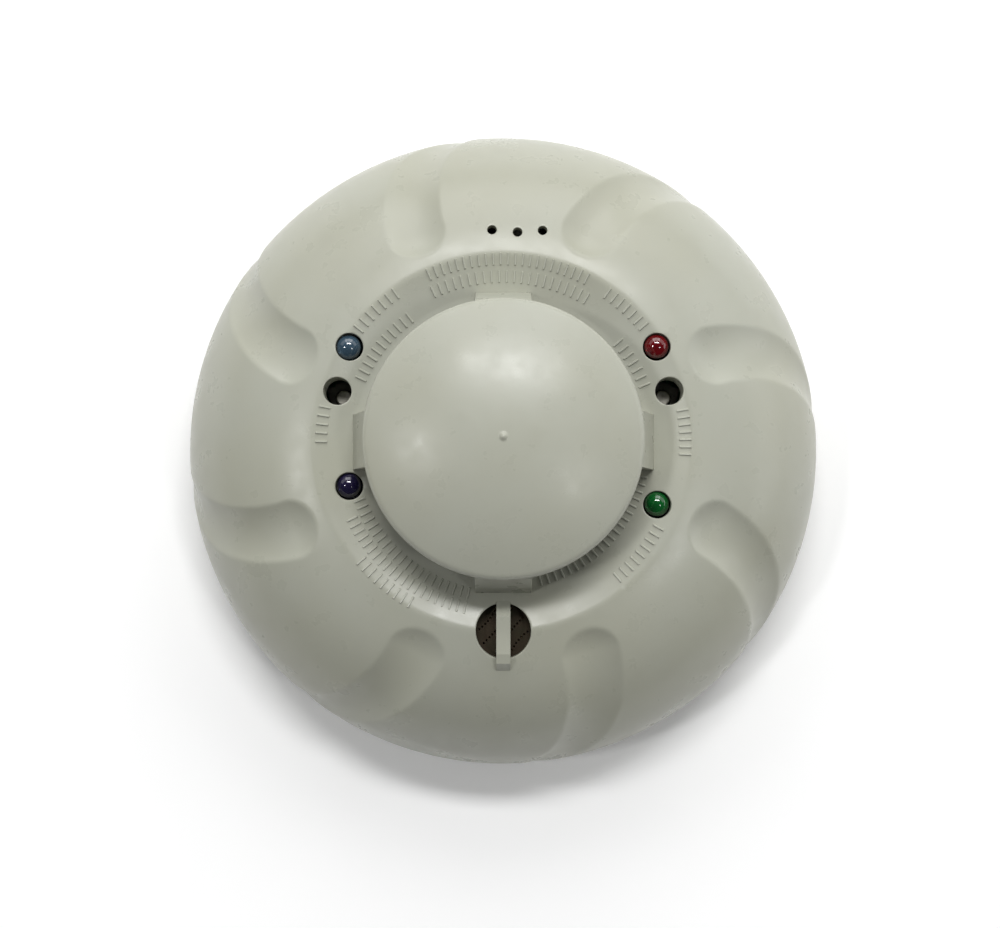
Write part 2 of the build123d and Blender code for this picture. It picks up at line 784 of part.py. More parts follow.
with BuildPart() as smoke_cap:
    with BuildSketch(Plane.XZ) as cap_section:
        with BuildLine():
            RadiusArc((0, cap_top), (cap_radius, cap_edge_height), cap_sphere_radius)
            Polyline(
                (cap_radius, cap_edge_height),
                (cap_radius, cap_rim_bottom),
                (cap_inner_radius, cap_rim_bottom),
                (cap_inner_radius, cap_inner_height),
            )
            RadiusArc((cap_inner_radius, cap_inner_height), (0, cap_top - cap_wall), -cap_inner_sphere)
            Line((0, cap_top - cap_wall), (0, cap_top))
        make_face()
        fillet(cap_section.vertices().group_by(Axis.X)[-1].sort_by(Axis.Y)[-1], radius=cap_edge_fillet)
    revolve(axis=Axis.Z)
    with Locations((0, 0, cap_top - nub_radius / 2)):
        Sphere(nub_radius)
    with PolarLocations(0, 4):
        add(pillar.part)
    with BuildSketch(Plane.XY.offset(flange_bottom)):
        Circle(flange_radius)
        Circle(pillar_inner_radius, mode=Mode.SUBTRACT)
    extrude(amount=flange_thickness)
save(smoke_cap.part, "smoke_cap")

screen_top = cap_rim_bottom + screen_lap
with BuildPart() as insect_screen:
    with BuildSketch(Plane.XY.offset(board_top)):
        Circle(screen_radius)
        Circle(screen_radius - screen_wall, mode=Mode.SUBTRACT)
    extrude(amount=screen_top - board_top)
    for row in range(screen_slot_rows):
        height = screen_slot_first + row * screen_slot_pitch
        with Locations((0, 0, height)):
            with PolarLocations(screen_radius, screen_slot_count):
                Box(4 * screen_wall, screen_slot_width, screen_slot_height, mode=Mode.SUBTRACT)
save(insect_screen.part, "insect_screen")

# ================================================================ smoke chamber
chamber_floor_top = board_top + chamber_floor
with BuildPart() as chamber_base:
    with Locations((0, 0, board_top)):
        Cylinder(chamber_radius, chamber_floor, align=standing)
    with PolarLocations(vane_outer_radius - vane_length / 2, vane_count, start_angle=vane_first_angle):
        with Locations((0, 0, chamber_floor_top)):
            Box(
                vane_length,
                vane_thickness,
                chamber_top - chamber_floor_top,
                rotation=(0, 0, vane_angle),
                align=standing,
            )
    for angle in (emitter_angle, receiver_angle):
        with PolarLocations(optic_distance + optic_length / 2, 1, start_angle=angle):
            with Locations((0, 0, chamber_floor_top)):
                Box(
                    optic_length,
                    holder_size,
                    optic_height + holder_size / 2 - chamber_floor_top,
                    align=standing,
                )
        out = Vector(cos(radians(angle)), sin(radians(angle)), 0)
        with BuildSketch(Plane(origin=Vector(0, 0, optic_height), z_dir=out)):
            Circle(optic_radius + pin_hole_gap)
        extrude(amount=optic_distance + optic_length, mode=Mode.SUBTRACT)
save(chamber_base.part, "chamber_base")

with BuildPart() as chamber_cover:
    with Locations((0, 0, chamber_top)):
        Cylinder(chamber_radius, chamber_lid, align=standing)
    with Locations((0, 0, chamber_top)):
        Cone(
            light_trap_radius,
            light_trap_tip,
            light_trap_depth,
            rotation=(180, 0, 0),
            align=standing,
        )
save(chamber_cover.part, "chamber_cover")

for name, angle in (("ir_emitter", emitter_angle), ("photo_receiver", receiver_angle)):
    out = Vector(cos(radians(angle)), sin(radians(angle)), 0)
    front = out * (optic_distance + optic_radius - optic_set_back) + Vector(0, 0, optic_height)
    with BuildPart() as optic:
        with BuildSketch(Plane(origin=front, z_dir=out)):
            Circle(optic_radius)
        extrude(amount=optic_length - optic_radius + optic_set_back)
        with Locations(front):
            Sphere(optic_radius)
    save(optic.part, name)

# ================================================================ carbon monoxide sensor
with BuildPart() as co_sensor_cell:
    with Locations((sensor_x, sensor_y, sensor_bottom)):
        Cylinder(sensor_radius, sensor_top - sensor_bottom, align=standing)
    with Locations((sensor_x, sensor_y, board_top)):
        Cylinder(sensor_flange_radius, sensor_flange, align=standing)
    fillet(co_sensor_cell.edges().sort_by(Axis.Z)[0], radius=sensor_edge)
save(co_sensor_cell.part, "co_sensor_cell")

with BuildPart() as co_sensor_filter:
    with Locations((sensor_x, sensor_y, sensor_top)):
        Cylinder(sensor_filter_radius, sensor_filter_thickness, align=standing)
save(co_sensor_filter.part, "co_sensor_filter")

with BuildPart() as co_sensor_gasket:
    with BuildSketch(Plane.XY.offset(sensor_top)):
        with Locations((sensor_x, sensor_y)):
            Circle(sensor_radius)
            Circle(sensor_filter_radius + fit_gap, mode=Mode.SUBTRACT)
    extrude(amount=sensor_collar_bottom - sensor_top)
save(co_sensor_gasket.part, "co_sensor_gasket")

# ================================================================ sounder
neck_top = sounder_seat - sounder_gasket_thickness - sounder_screen_thickness
neck_inner_radius = sounder_port_radius - sounder_wall / 2
with BuildPart() as sounder_housing:
    with BuildSketch(Plane.XZ.offset(-sounder_y)):
        with BuildLine():
            Polyline(
                (sounder_ledge_radius, board_top),
                (sounder_radius, board_top),
                (sounder_radius, sounder_top),
                (neck_inner_radius + sounder_wall, sounder_top),
                (neck_inner_radius + sounder_wall, neck_top),
                (neck_inner_radius, neck_top),
                (neck_inner_radius, sounder_top - sounder_wall),
                (sounder_radius - sounder_wall, sounder_top - sounder_wall),
                (sounder_radius - sounder_wall, board_top + sounder_ledge),
                (sounder_ledge_radius, board_top + sounder_ledge),
                close=True,
            )
        make_face()
    revolve(axis=Axis((0, sounder_y, 0), (0, 0, 1)))
save(sounder_housing.part, "sounder_housing")

disc_bottom = board_top + sounder_ledge
with BuildPart() as sounder_disc:
    with Locations((0, sounder_y, disc_bottom)):
        Cylinder(sounder_radius - sounder_wall - fit_gap, sounder_disc_thickness, align=standing)
save(sounder_disc.part, "sounder_disc")

with BuildPart() as sounder_element:
    with Locations((0, sounder_y, disc_bottom - sounder_element_thickness)):
        Cylinder(sounder_element_radius, sounder_element_thickness, align=standing)
save(sounder_element.part, "sounder_element")

with BuildPart() as sounder_screen:
    with BuildSketch(Plane.XY.offset(neck_top)):
        with Locations((0, sounder_y)):
            Circle(sounder_rim_radius)
            for row in range(screen_dot_rows):
                bend = screen_dot_bend * (row - (screen_dot_rows - 1) / 2)
                for dot in range(screen_dots_in_row):
                    along = (dot - (screen_dots_in_row - 1) / 2) * screen_dot_pitch
                    across = (row - (screen_dot_rows - 1) / 2) * screen_row_pitch + bend * along**2
                    if along**2 + across**2 < (sounder_port_radius - screen_dot_radius) ** 2:
                        turned = Vector(along, across).rotate(Axis.Z, screen_row_turn)
                        with Locations((turned.X, turned.Y)):
                            Circle(screen_dot_radius, mode=Mode.SUBTRACT)
    extrude(amount=sounder_screen_thickness)
save(sounder_screen.part, "sounder_screen")

with BuildPart() as sounder_gasket:
    with BuildSketch(Plane.XY.offset(neck_top + sounder_screen_thickness)):
        with Locations((0, sounder_y)):
            Circle(sounder_rim_radius)
            Circle(sounder_port_radius + fit_gap, mode=Mode.SUBTRACT)
    extrude(amount=sounder_gasket_thickness)
save(sounder_gasket.part, "sounder_gasket")

# ================================================================ indicator lamps
lamp_feet = []
for name, (x, y, off_x, off_y) in lamps.items():
    lamp_x, lamp_y = x + off_x, y + off_y
    lamp_top = channel_surface(sqrt(x**2 + y**2)) + lamp_proud
    lamp_foot = lamp_top - lamp_length
    lamp_feet.append((lamp_x, lamp_y, lamp_foot))
    with BuildPart() as lamp:
        with Locations((lamp_x, lamp_y, lamp_foot)):
            Cylinder(lamp_flange_radius, lamp_flange, align=standing)
            Cylinder(lamp_radius, lamp_length - lamp_radius, align=standing)
        with Locations((lamp_x, lamp_y, lamp_top - lamp_radius)):
            Sphere(lamp_radius)
        for lead in (-lamp_lead_offset, lamp_lead_offset):
            with Locations((lamp_x + lead, lamp_y, lamp_foot)):
                Cylinder(lamp_lead_radius, lamp_foot - board_height + lamp_lead_radius, align=hanging)
    save(lamp.part, name)

with BuildPart() as lamp_spacers:
    for x, y, lamp_foot in lamp_feet:
        with BuildSketch(Plane.XY.offset(board_top)):
            with Locations((x, y)):
                Circle(lamp_spacer_radius)
                Circle(lamp_spacer_bore, mode=Mode.SUBTRACT)
        extrude(amount=lamp_foot - board_top)
save(lamp_spacers.part, "lamp_spacers")

# ================================================================ test switches
switch_top = board_top + switch_height
for side, (x, y) in test_holes.items():
    inward = -1 if x > 0 else 1
    place = (x + inward * switch_offset_in, y - switch_offset_down)
    turn = inward * switch_turn
    with BuildPart() as switch_body:
        with Locations(Location((*place, board_top), (0, 0, turn))):
            Box(switch_size, switch_size, switch_height, align=standing)
        with Locations((*place, switch_top)):
            Hole(button_radius + pin_hole_gap, depth=button_in_body + button_travel + fit_gap)
    save(switch_body.part, f"{side}_switch_body")

    with BuildPart() as switch_frame:
        with Locations(Location((*place, switch_top), (0, 0, turn))):
            Box(switch_size, switch_size, switch_frame_thickness, align=standing)
        with Locations(Location((*place, switch_top), (0, 0, turn))):
            for end in (-1, 1):
                with Locations((0, end * (switch_size + switch_frame_thickness) / 2, switch_frame_thickness)):
                    Box(switch_leg_width, switch_frame_thickness, switch_height, align=hanging)
        with Locations((*place, switch_top + switch_frame_thickness)):
            Hole(button_radius + 2 * fit_gap, depth=switch_frame_thickness)
    save(switch_frame.part, f"{side}_switch_frame")

    with BuildPart() as test_button:
        with Locations((*place, switch_top - button_in_body)):
            Cylinder(button_radius, button_top - switch_top + button_in_body, align=standing)
        fillet(test_button.edges().sort_by(Axis.Z)[-1], radius=button_edge)
    save(test_button.part, f"{side}_test_button")
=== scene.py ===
"""Looks for the combined smoke and carbon monoxide detector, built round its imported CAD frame.

The detector lies on its back on a pale floor. Shapes are worked out in millimetres and scaled once, when
a mesh is made.
"""

import json
from math import acos, asin, cos, pi, radians, sin, sqrt, tan

import bmesh
import bpy
import numpy as np
from mathutils import Matrix, Vector


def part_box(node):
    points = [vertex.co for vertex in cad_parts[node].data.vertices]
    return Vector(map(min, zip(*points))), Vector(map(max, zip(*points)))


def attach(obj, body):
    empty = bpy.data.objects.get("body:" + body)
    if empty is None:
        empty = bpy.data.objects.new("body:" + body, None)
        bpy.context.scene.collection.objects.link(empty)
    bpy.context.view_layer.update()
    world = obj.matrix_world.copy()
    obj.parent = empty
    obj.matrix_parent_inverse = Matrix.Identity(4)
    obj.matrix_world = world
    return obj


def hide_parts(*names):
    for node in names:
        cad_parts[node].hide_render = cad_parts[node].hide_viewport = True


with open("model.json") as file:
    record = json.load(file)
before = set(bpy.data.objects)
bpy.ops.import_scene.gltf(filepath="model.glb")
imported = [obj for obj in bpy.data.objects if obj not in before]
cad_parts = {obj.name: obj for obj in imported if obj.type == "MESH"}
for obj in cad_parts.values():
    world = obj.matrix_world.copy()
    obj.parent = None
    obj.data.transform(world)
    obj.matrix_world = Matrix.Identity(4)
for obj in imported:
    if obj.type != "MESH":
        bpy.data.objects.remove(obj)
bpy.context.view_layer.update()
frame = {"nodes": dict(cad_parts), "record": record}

MM = 0.001
x_axis, y_axis, z_axis = range(3)
bevel_steps = 3
tiny = 1e-6  # a length below this counts as nothing
bands_per_unit = 0.314  # the wave texture has about ten bands in a length of pi

# ---------------------------------------------------------------- cover, as in the CAD part
body_radius = 70.0
widest_height = 10.5
skirt_bottom = 1.5
skirt_draft = 0.4
crest_radius = 39.8
crest_height = 39.3
dome_centre_radius = 33.5
cover_wall = 3.0
channel_slope = tan(radians(15.0))
channel_floor_radius = 31.0
channel_lip_radius = 29.0
cover_bore_radius = 26.8
channel_web = 2.5
crest_rounding = 0.8

# rows and columns of the cover's mesh
cover_segments = 640
skirt_rows = 8
dome_rows = 88
channel_rows = 10
inner_rows = 24
crest_steps = 5
skirt_lip = 0.5
skirt_gap = 1.5

# ---------------------------------------------------------------- scoops, cut by a bent round tube
scoop_count = 8
scoop_first_angle = 22.5
scoop_head_radius = 48.2
scoop_tube_radius = 16.0
scoop_head_depth = 1.4
scoop_tail_depth = 0.4
scoop_tail_sweep = 19.0
scoop_sweep_power = 1.6  # the tail bends more and more towards the rim
scoop_run_out = 1.12
scoop_edge_softness = 0.03
scoop_rounds = 3  # each round starts from the depth that the last one found
scoop_inner_margin = 0.6  # the scoops may reach this far inside the crest

dome_width = body_radius - dome_centre_radius
crest_share = (crest_radius - dome_centre_radius) / dome_width
dome_height = (crest_height - widest_height) / sqrt(1 - crest_share**2)
channel_floor_height = crest_height - (crest_radius - channel_floor_radius) * channel_slope
channel_underside = channel_floor_height - channel_web

# ---------------------------------------------------------------- openings in the cover
lamp_hole_radius = 2.88
lamp_holes = {
    "co_alarm_lamp": (-32.4, 20.0),
    "smoke_alarm_lamp": (32.3, 20.0),
    "trouble_lamp": (-32.4, -9.3),
    "power_lamp": (32.3, -13.2),
}
test_hole_radius = 2.9
test_holes = ((-34.9, 10.7), (34.9, 10.7))
test_tube_wall = 1.2
test_tube_bottom = 31.8
gas_hole_radius = 1.0
gas_holes = ((-2.4, 44.9), (3.0, 44.4), (8.3, 44.8))
sounder_port_radius = 5.77
sounder_y = -39.6
hole_rounding = 0.22
small_hole_rounding = 0.15
mouth_turn = 80.0  # how much of a quarter round the hole's edge has
mouth_steps = 5
mouth_flare = 0.35  # how far the drill widens above the edge
mouth_draft = 0.05
mouth_band = 0.1  # the part just below the mouth that follows the cover's slope too
mouth_sink = 0.4
mouth_lift = 0.12
drill_clearance = 3.0
drill_run_through = 2.0
cut_margin = 1.0
tube_lap = 1.0
hole_segments = 48
gas_hole_segments = 32
port_segments = 72

# ---------------------------------------------------------------- guard bar over the sounder's port
guard_width = 2.95
guard_proud = 1.1  # above the crest
guard_thickness = 2.3
guard_ramp = 2.6
guard_foot = 2.9
guard_root = 1.2  # how far the bar's ends run into the cover beside the port
guard_sink = 0.4
guard_dip = 0.2  # the ramp's top lies this much lower than the flat
guard_nose = 1.0
guard_nose_drop = 0.6
guard_heel = 1.4
guard_underside_in = 0.3
guard_bevel = 0.22

# ---------------------------------------------------------------- lamps
lamp_length = 8.7
lamp_flange_radius = 2.9
lamp_flange = 1.0
flange_corner = 0.12
lens_radius = 2.6
lens_dome = 2.2
lens_shoulder = 6.0  # degrees, where the dome starts above the barrel
lens_rows = 15
lens_segments = 56
post_radius = 0.25
post_offset = 1.27
post_head_depth = 4.1  # below the lens's top
post_neck = 1.6
post_head_height = 0.5
post_head_radii = (0.63, 0.434)  # the cup's post, then the wire's
cup_depth = 0.25
post_segments = 20

# ---------------------------------------------------------------- raised ribs in the channel
rib_height = 0.3
rib_length = 2.6
rib_width = 0.5
rib_pitch = 1.55
rib_draft = 0.13
rib_sink = 0.1
rib_rows = (  # radius, then the first and last angle in degrees
    (38.6, 63, 114),
    (35.0, 60, 115),
    (32.1, 22, 41),
    (38.2, 39.5, 55),
    (38.2, -4, 10),
    (32.9, 127, 156),
    (38.6, 126, 142),
    (38.2, 169, 180),
    (32.6, 202, 257),
    (35.6, 207, 257),
    (38.8, 220, 240),
    (30.0, 285, 346),
    (37.1, 310, 331),
)

# ---------------------------------------------------------------- smoke cap
cap_radius = 28.9
cap_edge_height = 51.0
cap_sphere_radius = 73.0
cap_rim_depth = 3.0
cap_wall = 2.4
cap_edge_rounding = 1.2
cap_edge_start = 1.38  # the cap's curve ends this far inside its edge
cap_side = 1.6
rim_chamfer = 0.25
nub_radius = 1.08
nub_height = 0.42
nub_rows = 9
nub_gap = 0.3
cap_rows = 44
cap_inner_rows = 14
cap_edge_steps = 8
cap_segments = 192
pillar_width = 11.7
pillar_foot_radius = 31.7
pillar_inner_radius = 26.3
pillar_tuck = 0.25
pillar_rise = 0.6
pillar_top_depth = 1.0
pillar_bevel = 0.14
flange_thickness = 1.4
flange_radius = 29.3
flange_pad_radius = 33.0
ring_segments = 128
notch_gap = -0.01  # the pillars are a press fit in the cover


# ================================================================ mesh helpers
def new_object(name, points, faces):
    """A mesh object from points in millimetres."""
    mesh = bpy.data.meshes.new(name)
    mesh.from_pydata((np.asarray(points, float) * MM).tolist(), [], faces)
    mesh.update()
    made = bpy.data.objects.new(name, mesh)
    bpy.context.scene.collection.objects.link(made)
    return made


def object_from_bmesh(name, shape):
    """A mesh object from a bmesh in millimetres."""
    bmesh.ops.recalc_face_normals(shape, faces=shape.faces)
    mesh = bpy.data.meshes.new(name)
    shape.to_mesh(mesh)
    shape.free()
    mesh.transform(Matrix.Scale(MM, 4))
    made = bpy.data.objects.new(name, mesh)
    bpy.context.scene.collection.objects.link(made)
    return made


def lathe(profile, segments):
    """Points and faces of a closed ring swept round Z. The profile is a closed loop of (radius, height)."""
    turns = np.arange(segments) * 2 * pi / segments
    profile = np.asarray(profile, float)
    points = np.empty((len(profile), segments, 3))
    points[..., 0] = profile[:, :1] * np.cos(turns)
    points[..., 1] = profile[:, :1] * np.sin(turns)
    points[..., 2] = profile[:, 1:]
    faces = []
    rows = len(profile)
    for row in range(rows):
        following = (row + 1) % rows
        for step in range(segments):
            beside = (step + 1) % segments
            low, high = row * segments, following * segments
            faces.append((low + step, low + beside, high + beside, high + step))
    return points, faces


def turned_solid(name, profile, segments, centre=(0.0, 0.0)):
    """A solid of revolution about a vertical line. The profile runs from the axis back to the axis."""
    shape = bmesh.new()
    rings = []
    for radius, height in profile:
        if radius < tiny:
            rings.append([shape.verts.new((*centre, height))])
            continue
        ring = []
        for step in range(segments):
            turn = 2 * pi * step / segments
            x = centre[0] + radius * cos(turn)
            y = centre[1] + radius * sin(turn)
            ring.append(shape.verts.new((x, y, height)))
        rings.append(ring)
    for low, high in zip(rings, rings[1:]):
        for step in range(segments):
            beside = (step + 1) % segments
            corners = [low[step % len(low)], low[beside % len(low)]]
            corners += [high[beside % len(high)], high[step % len(high)]]
            corners = list(dict.fromkeys(corners))
            if len(corners) > 2:
                shape.faces.new(corners)
    return object_from_bmesh(name, shape)


def rounded(points, corner, size, steps):
    """The profile with one corner replaced by a short curve that starts and ends size away from it."""
    before, at, after = (np.array(points[corner + step], float) for step in (-1, 0, 1))
    start = at + (before - at) / np.linalg.norm(before - at) * size
    end = at + (after - at) / np.linalg.norm(after - at) * size
    shares = np.linspace(0, 1, steps + 1)
    curve = [tuple((1 - s) ** 2 * start + 2 * s * (1 - s) * at + s**2 * end) for s in shares]
    return list(points[:corner]) + curve + list(points[corner + 1 :])


def prism(name, outline, plane_axis, low, high, bevel=0.0):
    """A straight prism. The outline is in the two axes other than plane_axis, in their order."""
    shape = bmesh.new()

    def corner(pair, along):
        values = list(pair)
        values.insert(plane_axis, along)
        return shape.verts.new(values)

    bottom = shape.faces.new([corner(pair, low) for pair in outline])
    top = bmesh.ops.extrude_face_region(shape, geom=[bottom])
    shift = [0.0, 0.0, 0.0]
    shift[plane_axis] = high - low
    moved = [v for v in top["geom"] if isinstance(v, bmesh.types.BMVert)]
    bmesh.ops.translate(shape, verts=moved, vec=shift)
    if bevel:
        bmesh.ops.bevel(
            shape,
            geom=shape.edges[:],
            offset=bevel,
            segments=bevel_steps,
            profile=0.5,
            affect="EDGES",
            clamp_overlap=True,
        )
    return object_from_bmesh(name, shape)


def joined(name, pieces):
    """One mesh made from several closed ones, which are removed."""
    shape = bmesh.new()
    for piece in pieces:
        shape.from_mesh(piece.data)
        bpy.data.objects.remove(piece)
    mesh = bpy.data.meshes.new(name)
    shape.to_mesh(mesh)
    shape.free()
    made = bpy.data.objects.new(name, mesh)
    bpy.context.scene.collection.objects.link(made)
    return made


def carve(piece, cutter, operation):
    """Cut the cutter from the piece, or add it, and remove the cutter."""
    change = piece.modifiers.new("carve", "BOOLEAN")
    change.operation = operation
    change.solver = "EXACT"
    change.object = cutter
    settle(piece)
    bpy.data.objects.remove(cutter)


def settle(piece):
    """Apply every modifier of a piece to its mesh."""
    bpy.context.view_layer.update()
    graph = bpy.context.evaluated_depsgraph_get()
    piece.data = bpy.data.meshes.new_from_object(piece.evaluated_get(graph))
    piece.modifiers.clear()


def soften(piece, angle):
    """Smooth shading that keeps edges sharper than the angle."""
    piece.data.shade_smooth()
    piece.data.set_sharp_from_angle(angle=radians(angle))


def even_normals(piece):
    """Keep large faces flat where they meet small rounded edges."""
    piece.modifiers.new("even_normals", "WEIGHTED_NORMAL").keep_sharp = True


def dress(piece, material, body="head", replaces=()):
    """Give a piece its material and the body that it rides on."""
    piece.data.materials.clear()
    piece.data.materials.append(material)
    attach(piece, body)
    if replaces:
        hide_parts(*replaces)


# ================================================================ materials
class Recipe:
    """Short-hand for building one node material."""

    def __init__(self, name, **values):
        self.material = bpy.data.materials.new(name)
        self.material.use_nodes = True
        self.nodes = self.material.node_tree.nodes
        self.links = self.material.node_tree.links
        self.shader = self.nodes["Principled BSDF"]
        for socket, value in values.items():
            self.shader.inputs[socket.replace("_", " ")].default_value = value
        self.place = self.nodes.new("ShaderNodeTexCoord").outputs["Object"]
        self.bumps = None

    def noise(self, size, detail=3.0, roughness=0.55):
        """Cloudy noise whose features are about size millimetres across."""
        node = self.nodes.new("ShaderNodeTexNoise")
        node.inputs["Scale"].default_value = 1 / (size * MM)
        node.inputs["Detail"].default_value = detail
        node.inputs["Roughness"].default_value = roughness
        self.links.new(self.place, node.inputs["Vector"])
        return node.outputs["Fac"]

    def bands(self, size, direction, distortion=0.0):
        """Stripes, size millimetres apart."""
        node = self.nodes.new("ShaderNodeTexWave")
        node.bands_direction = direction
        node.inputs["Scale"].default_value = bands_per_unit / (size * MM)
        node.inputs["Distortion"].default_value = distortion
        self.links.new(self.place, node.inputs["Vector"])
        return node.outputs["Fac"]

    def ramp(self, source, low, high, start=0.0, end=1.0):
        """Map the source from the range low..high to start..end."""
        node = self.nodes.new("ShaderNodeMapRange")
        node.inputs["From Min"].default_value = low
        node.inputs["From Max"].default_value = high
        node.inputs["To Min"].default_value = start
        node.inputs["To Max"].default_value = end
        self.links.new(source, node.inputs["Value"])
        return node.outputs["Result"]

    def mix(self, share, first, second):
        """A colour between two, each a colour or another node's output."""
        node = self.nodes.new("ShaderNodeMix")
        node.data_type = "RGBA"
        self.links.new(share, node.inputs["Factor"])
        for name, value in (("A", first), ("B", second)):
            socket = [s for s in node.inputs if s.name == name and s.type == "RGBA"][0]
            if isinstance(value, bpy.types.NodeSocket):
                self.links.new(value, socket)
            else:
                socket.default_value = (*value, 1.0)
        return [s for s in node.outputs if s.type == "RGBA"][0]

    def edges(self, low=0.5, high=0.6):
        """High where the surface is a sharp outer edge."""
        node = self.nodes.new("ShaderNodeNewGeometry")
        return self.ramp(node.outputs["Pointiness"], low, high)

    def colour(self, source):
        """Use the source as the surface's colour."""
        self.links.new(source, self.shader.inputs["Base Color"])

    def gloss(self, source):
        """Use the source as the surface's roughness."""
        self.links.new(source, self.shader.inputs["Roughness"])

    def bump(self, source, height, strength):
        """Add a relief of so many millimetres."""
        node = self.nodes.new("ShaderNodeBump")
        node.inputs["Distance"].default_value = height * MM
        node.inputs["Strength"].default_value = strength
        self.links.new(source, node.inputs["Height"])
        if self.bumps is not None:
            self.links.new(self.bumps, node.inputs["Normal"])
        self.bumps = node.outputs["Normal"]
        self.links.new(self.bumps, self.shader.inputs["Normal"])


def moulded(name, base, aged, dusty, roughness=0.30, grain=0.35):
    """Moulded plastic: fine spark-eroded grain, slow colour drift, faint dust and paler rubbed edges."""
    made = Recipe(name, Specular_IOR_Level=0.42)
    drift = made.ramp(made.noise(size=34, detail=2), 0.35, 0.65)
    tone = made.mix(drift, base, aged)
    dirt = made.ramp(made.noise(size=4.5, detail=3, roughness=0.5), 0.50, 0.85, start=0.0, end=0.10)
    tone = made.mix(dirt, tone, dusty)
    pale = tuple(min(1.0, part * 1.08 + 0.01) for part in base)
    tone = made.mix(made.edges(low=0.53, high=0.66), tone, pale)
    made.colour(tone)
    sheen = made.noise(size=5.0, detail=4)
    made.gloss(made.ramp(sheen, 0.3, 0.7, start=roughness - 0.05, end=roughness + 0.07))
    made.bump(made.noise(size=grain, detail=3, roughness=0.6), height=0.006, strength=0.4)
    made.bump(made.noise(size=9.0, detail=2), height=0.05, strength=0.35)
    return made.material


def metal(name, colour, tarnish, roughness, brushed=0.12):
    """Plated or bare metal with fine drawn lines and duller patches."""
    made = Recipe(name, Metallic=1.0)
    patches = made.ramp(made.noise(size=2.2, detail=4, roughness=0.65), 0.42, 0.68)
    tone = made.mix(patches, colour, tarnish)
    bright = tuple(min(1.0, part * 1.2) for part in colour)
    made.colour(made.mix(made.edges(low=0.52, high=0.62), tone, bright))
    wear = made.noise(size=1.4, detail=3)
    made.gloss(made.ramp(wear, 0.3, 0.7, start=roughness - 0.06, end=roughness + 0.12))
    made.bump(made.bands(brushed, "DIAGONAL", distortion=2.0), height=0.004, strength=0.35)
    return made.material


def matt(name, base, other, size, roughness, relief, spec=0.3, grain=None):
    """Rubber, foam, card or ceramic: two tones mixed by noise over a rough relief."""
    made = Recipe(name, Specular_IOR_Level=spec)
    tones = made.ramp(made.noise(size, detail=4, roughness=0.6), 0.35, 0.68)
    made.colour(made.mix(tones, base, other))
    wear = made.noise(size * 2, detail=3)
    made.gloss(made.ramp(wear, 0.3, 0.7, start=roughness - 0.08, end=roughness + 0.08))
    made.bump(made.noise(grain or size / 3, detail=3, roughness=0.6), height=relief, strength=0.8)
    return made.material


def tinted_lens(name, tint, deep, clear=0.3):
    """Coloured epoxy with faint flow marks."""
    made = Recipe(name, IOR=1.52, Transmission_Weight=clear, Coat_Weight=0.7, Coat_Roughness=0.09)
    made.colour(made.mix(made.ramp(made.noise(size=1.6, detail=2), 0.35, 0.65), tint, deep))
    made.gloss(made.ramp(made.noise(size=0.8, detail=3), 0.35, 0.7, start=0.07, end=0.14))
    made.bump(made.noise(size=1.1, detail=2), height=0.01, strength=0.3)
    return made.material


def circuit_board():
    """Green solder mask over darker laminate, with slightly raised copper runs and a fine weave."""
    made = Recipe("board_laminate", Specular_IOR_Level=0.5, Coat_Weight=0.3, Coat_Roughness=0.2)
    runs = made.ramp(made.bands(3.1, "X", distortion=9.0), 0.62, 0.70)
    weave = made.ramp(made.bands(0.5, "Y"), 0.2, 0.8)
    laminate = made.mix(weave, (0.012, 0.085, 0.035), (0.018, 0.105, 0.045))
    made.colour(made.mix(runs, laminate, (0.030, 0.190, 0.075)))
    made.gloss(made.ramp(made.noise(size=1.5, detail=3), 0.3, 0.7, start=0.30, end=0.42))
    made.bump(runs, height=0.05, strength=0.6)
    made.bump(weave, height=0.01, strength=0.4)
    return made.material


def plastics():
    """Moulded plastics by slot: the usual tone, the aged tone and the dusty tone."""
    cream = ((0.420, 0.428, 0.362), (0.406, 0.409, 0.333), (0.310, 0.299, 0.241))
    ivory = ((0.520, 0.515, 0.450), (0.500, 0.487, 0.405), (0.36, 0.34, 0.28))
    black = ((0.016, 0.016, 0.017), (0.021, 0.020, 0.020), (0.05, 0.048, 0.043))
    slate = ((0.055, 0.058, 0.065), (0.045, 0.047, 0.052), (0.09, 0.088, 0.08))
    navy = ((0.02, 0.04, 0.12), (0.02, 0.035, 0.10), (0.06, 0.07, 0.1))
    return {
        "cover_plastic": moulded("cover_plastic", *cream),
        "base_plastic": moulded("base_plastic", *ivory, roughness=0.5),
        "black_plastic": moulded("black_plastic", *black, roughness=0.48),
        "relay_case": moulded("relay_case", *slate, roughness=0.40),
        "capacitor_sleeve": moulded("capacitor_sleeve", *navy, roughness=0.35),
    }


def metals():
    """Metals by slot: the clean tone, the tarnished tone and the roughness."""
    return {
        "sensor_can": metal("sensor_can", (0.62, 0.61, 0.58), (0.44, 0.43, 0.40), 0.34),
        "spring_metal": metal("spring_metal", (0.66, 0.50, 0.28), (0.42, 0.31, 0.18), 0.30),
        "plated_steel": metal("plated_steel", (0.60, 0.60, 0.58), (0.40, 0.38, 0.34), 0.28),
        "brass_disc": metal("brass_disc", (0.70, 0.52, 0.22), (0.48, 0.34, 0.15), 0.30),
        "screen_mesh": metal("screen_mesh", (0.30, 0.30, 0.29), (0.20, 0.19, 0.18), 0.42),
    }


